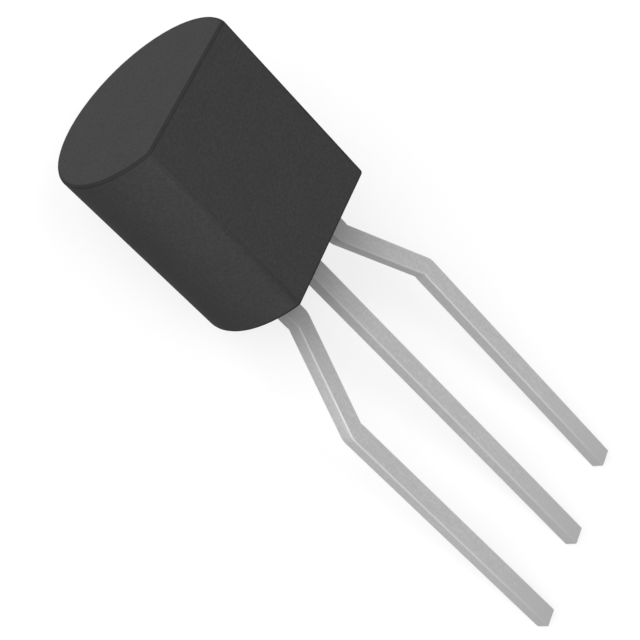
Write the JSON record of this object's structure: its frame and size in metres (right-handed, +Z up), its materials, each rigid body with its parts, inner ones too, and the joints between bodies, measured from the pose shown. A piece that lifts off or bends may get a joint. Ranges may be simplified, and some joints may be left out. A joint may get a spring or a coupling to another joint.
{
  "type": "to-92 transistor",
  "caption": "D-shaped moulded through-hole transistor with a flat face and a round back, on a stamped lead frame whose outer leads are formed out to a wider pitch.",
  "frame": {"origin": "middle of the outline on the surface that the part lies on", "axes": "+X along the row of leads, +Y from the lead ends to the closed top of the body, +Z up, away from the surface; the flat face looks up"},
  "size_m": [0.0056, 0.0178, 0.0049],
  "materials": {
    "moulding": "black epoxy moulding compound, matt, with a fine grain",
    "leads": "matt tin plating",
    "attach": "silver-filled adhesive, dull",
    "silicon": "polished silicon",
    "gold_wire": "drawn gold wire"
  },
  "bodies": {
    "root": {"moulded_body": "moulding", "collector_lead": "leads", "emitter_lead": "leads", "base_lead": "leads", "die_attach": "attach", "silicon_die": "silicon", "emitter_wire": "gold_wire", "base_wire": "gold_wire"}
  },
  "joints": []
}
